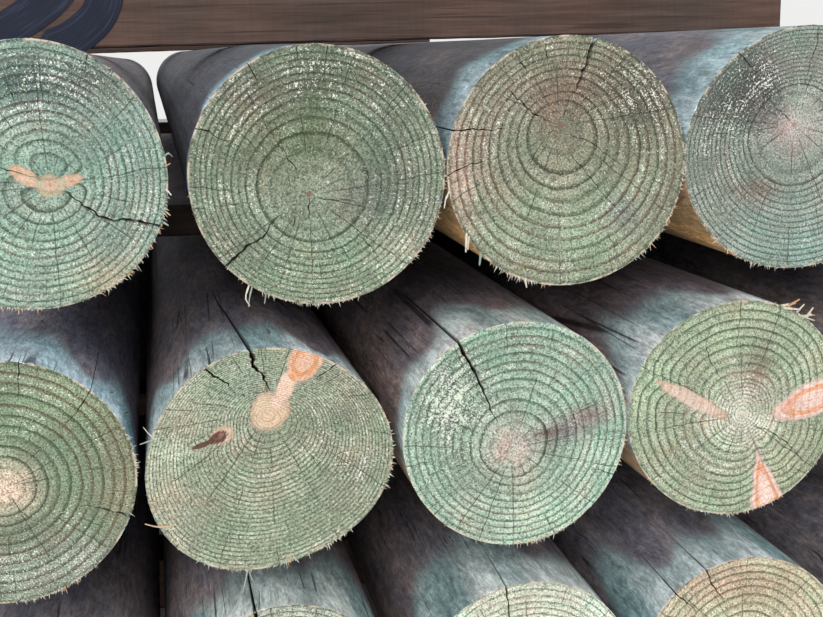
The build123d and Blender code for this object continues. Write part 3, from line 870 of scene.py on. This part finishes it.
            ((7, -6), (32, 32), (0.62, 0.56, 0.47, 1.2), 0.9), ((20, 42), (14, 34), brown, 0.45),
            ((-36, -50), (50, 40), (0.26, 0.28, 0.19, 1.0), 0.6), ((60, -60), (40, 40), tan, 0.25),
        ],
    ),
    "log_b5": dict(
        pith=(-8, 5), rings=even_rings(13), base=(0.17, 0.225, 0.155), side=side_colours(0.8, 205, 0.6),
        checks=[Check([(-20, 14), (-60, 40), (-88, 58)], 2.0, 50), Check([(10, -4), (44, -22)], 0.7)],
        knots=[((-8, 5), (4.0, 3.8), 0, pith_red, 0.0)],
        stains_and_shade=[((30, 40), (50, 40), grey_brown, 0.5), ((-20, -70), (60, 34), mint, 0.4)],
    ),
    "log_c1": dict(
        pith=(5, 10), rings=even_rings(14), base=(0.304, 0.334, 0.258), side=side_colours(0.1, 225, 0.8),
        checks=[Check([(16, 24), (34, 62), (50, 92)], 2.2, 80), Check([(-4, 0), (-30, -30)], 0.7)],
        stains_and_shade=[((0, 80), (60, 30), cream, 0.5), ((20, -70), (60, 36), tan, 0.4)],
    ),
    "log_c2": dict(
        pith=(-3, 6), rings=even_rings(16), base=(0.21, 0.25, 0.21),
        side=side_colours(0.2, 225, 1.0, 1.05, 120, (1.06, 1.0, 0.95)),
        checks=[Check([(-8, 34), (-20, 74), (-24, 105)], 3.2, 130), Check([(20, 0), (60, -20)], 0.7)],
        stains_and_shade=[((10, 85), (60, 30), cream, 0.6), ((0, -60), (60, 36), teal, 0.3)],
    ),
    "log_c3": dict(
        pith=(4, -5), rings=even_rings(15), base=(0.56, 0.60, 0.50),
        side=side_colours(0.3, 220, 1.0, 1.0, 110, (1.05, 1.0, 0.97)),
        checks=[
            Check([(-10, 40), (-18, 84), (-20, 105)], 2.0, 110, -2.0), Check([(52, 62), (66, 82)], 1.1, 60),
            Check([(10, -20), (30, -60)], 0.7),
        ],
        knots=[((4, -5), (4.0, 3.6), 0, pale_pink, 0.0)],
        stains_and_shade=[((0, 88), (80, 28), cream, 0.7), ((0, -60), (60, 36), yellow_green, 0.3)],
    ),
    "log_c4": dict(
        pith=(0, 10), rings=even_rings(11), base=(0.47, 0.44, 0.31), side=side_colours(0.4, 220, 1.0, 1.2, 120),
        checks=[
            Check([(-22, 60), (-38, 86), (-42, 98)], 1.8, 100), Check([(-50, 55), (-70, 74)], 1.4, 95, -1.5),
            Check([(20, 30), (44, 60)], 0.8),
        ],
        stains_and_shade=[((0, 80), (80, 30), tan, 0.7), ((-30, 90), (40, 20), pink, 0.4)],
    ),
    "log_c5": dict(
        pith=(-5, -6), rings=even_rings(13), base=(0.17, 0.225, 0.155), side=side_colours(0.5, 220, 0.8),
        checks=[Check([(-16, 20), (-36, 62), (-48, 92)], 2.0, 90), Check([(10, -20), (24, -58)], 0.7)],
        stains_and_shade=[((-10, 80), (60, 30), tan, 0.5), ((20, -60), (60, 36), mint, 0.4)],
    ),
}

shapes = {}
for number, (name, facts) in enumerate(logs.items()):
    shapes[name] = LogShape(name)
    mesh = log_mesh("treated_" + name, shapes[name], 100 + 17 * number, **facts)
    log = add_object("treated_" + name, mesh)
    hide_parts(name)
    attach(log, "root")


# The timbers: rough-sawn square bearers and thin spacers between the rows, of the
# same treated pine gone brown-grey, with their arrises worn a little.
sawn, tree, shader = new_material("rough_sawn_timber", 0.8, 0.25)
place = object_place(tree)
long_grain = noise(place, 90.0, 3.0, 0.55, (0.05, 1, 1))
fine_grain = noise(place, 420.0, 3.0, 0.6, (0.04, 1, 1))
saw_marks = noise(place, 200.0, stretch=(1, 0.06, 0.06))
timber_tone = long_grain.eased(0.3, 0.7, 0.72, 1.2) * fine_grain.eased(0.3, 0.7, 0.86, 1.12)
timber_tone = timber_tone * saw_marks.eased(0.3, 0.7, 0.95, 1.04)
warm = mix(noise(place, 6.0, 3.0).eased(0.35, 0.65), (0.100, 0.058, 0.044, 1), (0.078, 0.053, 0.044, 1))
dark_lines = noise(place, 260.0, stretch=(0.02, 1, 1)).eased(0.3, 0.42, 1.0, 0.0)
timber_colour = mix(dark_lines * 0.7, times(warm, grey(timber_tone)), (0.030, 0.020, 0.018, 1))
finish_surface(shader, timber_colour, saw_marks * 0.6 + fine_grain, 0.0009, 0.6)

arris_wear = 0.0022
end_wear = {0.0: 0.0016, 0.0008: 0.0005, 0.9992: 0.0005, 1.0: 0.0016}
stations = [0.0, 0.0008, 0.003, *np.linspace(0.01, 0.99, 110), 0.997, 0.9992, 1.0]


def capped_tube(rows, around, start=0):
    """The quads between closed rows of points and one face at each end."""
    last = start + (rows - 1) * around
    ends = [tuple(reversed(range(start, start + around))), tuple(range(last, last + around))]
    return tube_faces(rows, around, start) + ends


def timber_mesh(name, node, seed):
    """A sawn length with worn arrises and a slightly uneven face, on its solid's corners."""
    corners = np.array([v.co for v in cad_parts[node].data.vertices])
    low, high = corners.min(0), corners.max(0)
    left, right = (corners[np.abs(corners[:, 0] - x) < 0.02][:, 2] for x in (low[0], high[0]))
    deep, tall = high[1] - low[1], left.max() - left.min()
    profile = []
    for corner, way, span in (
        ((0, 0), (1, 0), deep), ((1, 0), (0, 1), tall), ((1, 1), (-1, 0), deep), ((0, 1), (0, -1), tall),
    ):
        for share in (arris_wear / span, 0.25, 0.5, 0.75, 1 - arris_wear / span):
            profile.append(np.array(corner) + np.array(way) * share)
    profile = np.array(profile)
    drift = np.random.default_rng(seed).uniform(0, 6.3, len(profile))
    spots = []
    for share in stations:
        x = low[0] + (high[0] - low[0]) * share
        bottom = left.min() + (right.min() - left.min()) * share
        top = left.max() + (right.max() - left.max()) * share
        pull = end_wear.get(share, 0.0)
        wear = 0.0004 * (1 + np.sin(drift + share * 70) * np.sin(drift * 2 + share * 31))
        flat = np.array([low[1], bottom]) + pull + (np.array([deep, top - bottom]) - 2 * pull) * profile
        flat = flat - (profile - 0.5) * 2 * wear[:, None]
        spots += [(x, y, z) for y, z in flat]
    return build_mesh(name, spots, capped_tube(len(stations), len(profile)), [sawn])


timber_nodes = [
    "ground_bearer_near", "ground_bearer_far", "lower_spacer_near", "lower_spacer_far",
    "upper_spacer_near", "upper_spacer_far", "top_bearer_near", "top_bearer_far",
]
for number, name in enumerate(timber_nodes):
    timber = add_object("sawn_" + name, timber_mesh("sawn_" + name, name, 500 + number))
    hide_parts(name)
    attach(timber, "root")


# The strap: dark navy polyester webbing with a plain weave, slung over the near top
# bearer. One pass is tucked under the bearer, and the other's tail hangs beside it.
webbing, tree, shader = new_material("navy_webbing", 0.62, 0.22)
weave = attribute(tree, "weave", "Vector")
across, along = (Value(tree, part) for part in add_node(tree, "ShaderNodeSeparateXYZ", {0: weave}).outputs[:2])
woven = (across * (6283 / 1.5)).maths("SINE") * (along * (6283 / 1.1)).maths("SINE") * 0.5 + 0.5
worn = noise(weave, 1.0, 3.0, 0.65, (900, 22, 1)).eased(0.5, 0.72)
worn = worn * noise(object_place(tree), 30.0).eased(0.35, 0.65, 0.2, 0.8)
off_middle = across.maths("ABSOLUTE")
band = off_middle.eased(0.0135, 0.0148) * off_middle.eased(0.0162, 0.0175, 1.0, 0.0)
navy = mix(woven, (0.005, 0.007, 0.018, 1), (0.011, 0.015, 0.034, 1))
navy = mix(band * 0.35, navy, (0.035, 0.042, 0.075, 1))
navy = mix(worn * 0.65, navy, (0.075, 0.09, 0.14, 1))
finish_surface(shader, navy, woven, 0.0003, 0.6)

bearer_low, bearer_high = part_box("top_bearer_near")
bearer_deep = bearer_high.y - bearer_low.y
bearer_slope = 0.002216
near_underside = 0.79457
strap_width = 45 * mm
strap_thickness = 1.8 * mm
strap_lift = 0.5 * mm
face_lift = strap_lift + strap_thickness / 2
tuck_gap = 3 * mm


def unit(vector):
    return np.array(vector, float) / np.linalg.norm(vector)


along_bearer = unit([1, 0, bearer_slope])
up, back, forward = np.array([0.0, 0, 1]), np.array([0.0, 1, 0]), np.array([0.0, -1, 0])


def bearer_spot(from_left, height):
    """A point on the bearer's near face, in mm from its left end and its underside."""
    x = bearer_low.x + from_left * mm
    return np.array([x, bearer_low.y, near_underside + bearer_slope * x + height * mm])


def smooth_path(points, share):
    """The point at a share of the way along a smooth curve through the points."""
    points = np.array(points, float)
    spans = np.linalg.norm(np.diff(points, axis=0), axis=1)
    marks = np.concatenate([[0], np.cumsum(np.sqrt(spans))])
    slopes = np.gradient(points, marks, axis=0)
    t = share * marks[-1]
    i = min(int(np.searchsorted(marks, t, side="right")) - 1, len(points) - 2)
    width = marks[i + 1] - marks[i]
    u = (t - marks[i]) / width
    first = 2 * u ** 3 - 3 * u ** 2 + 1
    swerve = (u ** 3 - 2 * u ** 2 + u) * slopes[i] + (u ** 3 - u ** 2) * slopes[i + 1]
    return first * points[i] + (1 - first) * points[i + 1] + width * swerve


def face_frames(route, flat_end):
    """Frames of a pass on the bearer's near face, which end with the band square to the arris."""
    frames = []
    for share in np.linspace(0, 1, 44):
        ahead = smooth_path(route, min(1, share + 0.01)) - smooth_path(route, max(0, share - 0.01))
        sideways = unit(np.cross(unit(ahead), forward))
        square = max(0.0, (share - flat_end) / (1 - flat_end)) ** 1.5
        sideways = unit(sideways * (1 - square) + along_bearer * square)
        frames.append((smooth_path(route, share) + forward * face_lift, sideways, forward))
    return frames


def bend_frames(spot, first_way, second_way, turns):
    """Frames round an arris, from one outward direction towards the next."""
    frames = []
    for turn in turns:
        outwards = first_way * math.cos(turn * math.pi / 2) + second_way * math.sin(turn * math.pi / 2)
        frames.append((spot + outwards * face_lift, along_bearer, outwards))
    return frames


def over_frames(top_spot):
    """Frames over the bearer's top and down its back."""
    top_back = top_spot + back * bearer_deep
    frames = bend_frames(top_spot, forward, up, np.linspace(0.15, 1, 6))
    for share in np.linspace(0.1, 1.0, 10):
        frames.append((top_spot + back * bearer_deep * share + up * face_lift, along_bearer, up))
    frames += bend_frames(top_back, up, back, np.linspace(0.2, 1, 5))
    for drop in (10, 20, 30, 42):
        frames.append((top_back + back * face_lift - up * drop * mm, along_bearer, back))
    return frames


def under_frames(start_spot):
    """Frames of the tuck under the bearer, up to where the pass turns onto its near face."""
    frames = []
    for depth in (52, 40, 28, 16, 6):
        frames.append((start_spot + back * depth * mm - up * (face_lift + tuck_gap), along_bearer, -up))
    for turn in (0.25, 0.5, 0.75):
        frames += bend_frames(start_spot - up * tuck_gap * (1 - turn), -up, forward, [turn])
    return frames


straight_route = [bearer_spot(*spot) for spot in ((132, 3), (150, 9), (170, 21), (191, 40), (201, 60), (204, 75))]
slanted_route = [
    bearer_spot(*spot) for spot in ((24, -76), (24.5, -50), (30, -12), (54, 12), (92, 34), (128, 58), (150, 75))
]
across_band = np.linspace(-0.5, 0.5, 13)
profile = [(wide, 0.5) for wide in across_band] + [(wide, -0.5) for wide in across_band[::-1]]
strap_spots, strap_faces, strap_weaves = [], [], []
for frames in (
    under_frames(straight_route[0]) + face_frames(straight_route, 0.7) + over_frames(straight_route[-1]),
    face_frames(slanted_route, 0.75) + over_frames(slanted_route[-1]),
):
    strap_faces += capped_tube(len(frames), len(profile), len(strap_spots))
    travelled = 0.0
    before = frames[0][0]
    for middle, sideways, outwards in frames:
        travelled += float(np.linalg.norm(middle - before))
        before = middle
        for wide, thick in profile:
            edge_round = 1.0 if abs(wide) < 0.49 else 0.45
            cup = 0.0006 * math.sin(travelled * 40) * (2 * wide) ** 2
            lift = thick * strap_thickness * edge_round + cup
            strap_spots.append(middle + sideways * wide * strap_width + outwards * lift)
            strap_weaves.append((wide * strap_width, travelled, 0.0))
strap_mesh = build_mesh("webbing_strap", strap_spots, strap_faces, [webbing], 50, weave=strap_weaves)
strap = add_object("webbing_strap", strap_mesh)
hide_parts("strap")
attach(strap, "root")


# Splinters: torn fibres that the saw left on the rims of the near ends, thickest at
# the lower right, with some longer straws. They are part of the logs' own wood.
splinter_wood, tree, shader = new_material("torn_wood_fibre", 0.75, 0.25)
tone = attribute(tree, "tone")
fibre_colour = mix(tone.eased(0.0, 0.4), (0.24, 0.33, 0.28, 1), (0.62, 0.60, 0.50, 1))
fibre_colour = mix(tone.eased(0.6, 0.95), fibre_colour, (0.55, 0.29, 0.13, 1))
blotches = noise(object_place(tree), 900.0).eased(0.4, 0.7, 0.0, 0.4)
finish_surface(shader, mix(blotches, fibre_colour, (0.2, 0.13, 0.08, 1)))

tree = bpy.data.node_groups.new("rim_splinters", "GeometryNodeTree")
tree.interface.new_socket("Geometry", in_out="INPUT", socket_type="NodeSocketGeometry")
tree.interface.new_socket("Geometry", in_out="OUTPUT", socket_type="NodeSocketGeometry")
splinter_inputs = {}
for label, kind, setting in (
    ("Length", "NodeSocketFloat", 0.0056), ("Thickness", "NodeSocketFloat", 0.00055), ("Seed", "NodeSocketInt", 7),
):
    socket = tree.interface.new_socket(label, in_out="INPUT", socket_type=kind)
    splinter_inputs[socket.identifier] = setting
given = add_node(tree, "NodeGroupInput").outputs
spike_sizes = {"Vertices": 3, "Radius Top": 0.12, "Radius Bottom": 1.0, "Depth": 1.0}
spike = value_of(tree, "GeometryNodeMeshCone", spike_sizes, "Mesh", fill_type="NGON")
outward = value_of(tree, "GeometryNodeInputNamedAttribute", {"Name": "outward"}, data_type="FLOAT_VECTOR")
bigness = value_of(tree, "GeometryNodeInputNamedAttribute", {"Name": "size"}, data_type="FLOAT")
turn_range = {0: (-0.55, -0.55, -3.1), 1: (0.55, 0.55, 3.1), "Seed": given["Seed"]}
turn = value_of(tree, "FunctionNodeRandomValue", turn_range, data_type="FLOAT_VECTOR")
turn = value_of(tree, "FunctionNodeEulerToRotation", {0: turn})
aimed = value_of(tree, "FunctionNodeAlignRotationToVector", {"Vector": outward}, axis="Z")
aimed = value_of(tree, "FunctionNodeRotateRotation", {0: aimed, 1: turn}, rotation_space="LOCAL")
length_range = {2: 0.35, 3: 1.0, "Seed": given["Seed"]}
length = value_of(tree, "FunctionNodeRandomValue", length_range, 1, data_type="FLOAT") * given["Length"] * bigness
size = value_of(
    tree, "ShaderNodeCombineXYZ", {"X": given["Thickness"], "Y": given["Thickness"], "Z": length},
)
grown = value_of(
    tree, "GeometryNodeInstanceOnPoints",
    {"Points": given["Geometry"], "Instance": spike, "Rotation": aimed, "Scale": size},
)
grown = value_of(tree, "GeometryNodeRealizeInstances", {0: grown})
grown = value_of(tree, "GeometryNodeSetMaterial", {"Geometry": grown, "Material": splinter_wood})
add_node(tree, "NodeGroupOutput", {0: grown})

splinter_spots, outward_ways, splinter_sizes, splinter_tones = [], [], [], []
chance = np.random.default_rng(71)
for shape in shapes.values():
    tufts = chance.uniform(-130, 10, 7)
    for _ in range(340):
        if chance.random() < 0.84:
            angle = math.radians(chance.choice(tufts) + chance.normal(0, 7))
            weight = 1.0
        else:
            angle = chance.uniform(0, 2 * math.pi)
            weight = 0.55 if math.sin(angle) > -0.2 else 0.9
        spot = shape.rim(np.array([angle]), shape.levels[0])[0]
        radial = unit(spot - shape.middles[0])
        x, z = spot - radial * chance.uniform(0.0, 0.0014)
        splinter_spots.append((x, shape.levels[0] + chance.uniform(0.0002, 0.0016), z))
        outward_ways.append((radial[0], -chance.uniform(-0.3, 0.5), radial[1] - chance.uniform(0.0, 0.4)))
        splinter_sizes.append(weight * (0.35 + 1.0 * chance.random() ** 4))
        splinter_tones.append(chance.random())
splinter_base = add_object("rim_splinters_base", build_mesh(
    "rim_splinters", splinter_spots, [], [], outward=outward_ways, size=splinter_sizes, tone=splinter_tones,
))
grow = splinter_base.modifiers.new("grow", "NODES")
grow.node_group = tree
for identifier, setting in splinter_inputs.items():
    grow[identifier] = setting
bpy.context.view_layer.update()
splinter_mesh = bpy.data.meshes.new_from_object(splinter_base.evaluated_get(bpy.context.evaluated_depsgraph_get()))
splinter_base.modifiers.remove(grow)
bpy.data.objects.remove(splinter_base)
splinters = add_object("rim_splinters", splinter_mesh)
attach(splinters, "root")


# Straws and shreds: longer torn strips of bark and wood that hang on the near rims
# where the saw left the log.
straws = {
    "log_a1": [
        [(102, 10), (107, 14), (110, 11)], [(103, 3), (108, 6)], [(103, -15), (107, -20)],
        [(101, -33), (105, -37)], [(99, -42), (103, -45)], [(87, -59), (89, -63)],
    ],
    "log_a2": [[(-60, -88), (-63, -97), (-65, -107)], [(-63, -88), (-67, -99), (-64, -105)], [(-49, -95), (-51, -106)]],
    "log_a3": [
        [(-107, -19), (-111, -26), (-113, -34)], [(-93, -57), (-95, -73)], [(-91, -60), (-93, -71)],
        [(-80, -74), (-82, -86)], [(-78, -76), (-76, -81)], [(-40, -101), (-40, -108)],
    ],
    "log_b2": [
        [(-97, 28), (-102, 34), (-106, 41)], [(-97, 28), (-110, 26)], [(-90, -52), (-101, -50), (-111, -45)],
        [(-90, -52), (-88, -64), (-82, -77)], [(-88, -56), (-83, -69), (-77, -74)],
        [(-25, -95), (-29, -111), (-32, -120)], [(-26, -98), (-21, -114), (-16, -111)], [(6, -92), (16, -93)],
        [(14, -91), (19, -97)], [(20, -89), (30, -91)], [(26, -87), (30, -97)],
    ],
    "log_b4": [
        [(44, 97), (59, 98)], [(50, 96), (60, 103)], [(46, 95), (61, 93)], [(60, 90), (65, 98)],
        [(61, 87), (77, 81)], [(64, 86), (80, 85)], [(70, 84), (77, 93)], [(66, 84), (75, 87)],
    ],
}
stouter = {"log_b4": 1.7, "log_a3": 1.4}
straw_rows = 6
straw_sides = 5
straw_spots, straw_faces, straw_tones = [], [], []
chance = np.random.default_rng(19)
for name, strands in straws.items():
    (x, z), near = shapes[name].middles[0], shapes[name].levels[0]
    for strand in strands:
        lean_out = chance.uniform(-3, 5)
        line = [np.array([x + u * mm, near + (1.5 - lean_out * i) * mm, z + v * mm]) for i, (u, v) in enumerate(strand)]
        thick = chance.uniform(1.1, 1.8) * stouter.get(name, 1.0) * mm
        wide = thick * chance.uniform(1.0, 1.7)
        straw_tones += [chance.random()] * (straw_rows * straw_sides)
        straw_faces += capped_tube(straw_rows, straw_sides, len(straw_spots))
        ahead = unit(line[-1] - line[0])
        aside = unit(np.cross(ahead, chance.normal(size=3)))
        across = np.cross(ahead, aside)
        for share in np.linspace(0, 1, straw_rows):
            middle = smooth_path(line, share) if len(line) > 2 else line[0] + (line[1] - line[0]) * share
            slim = (1 - 0.55 * share) * (1 + 0.2 * math.sin(share * 17 + thick * 9000))
            for i in range(straw_sides):
                angle = 2 * math.pi * i / straw_sides
                off = aside * math.cos(angle) * wide + across * math.sin(angle) * thick
                straw_spots.append(middle + off * slim / 2)
straw_mesh = build_mesh("rim_straws", straw_spots, straw_faces, [splinter_wood], tone=straw_tones)
rim_straws = add_object("rim_straws", straw_mesh)
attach(rim_straws, "root")
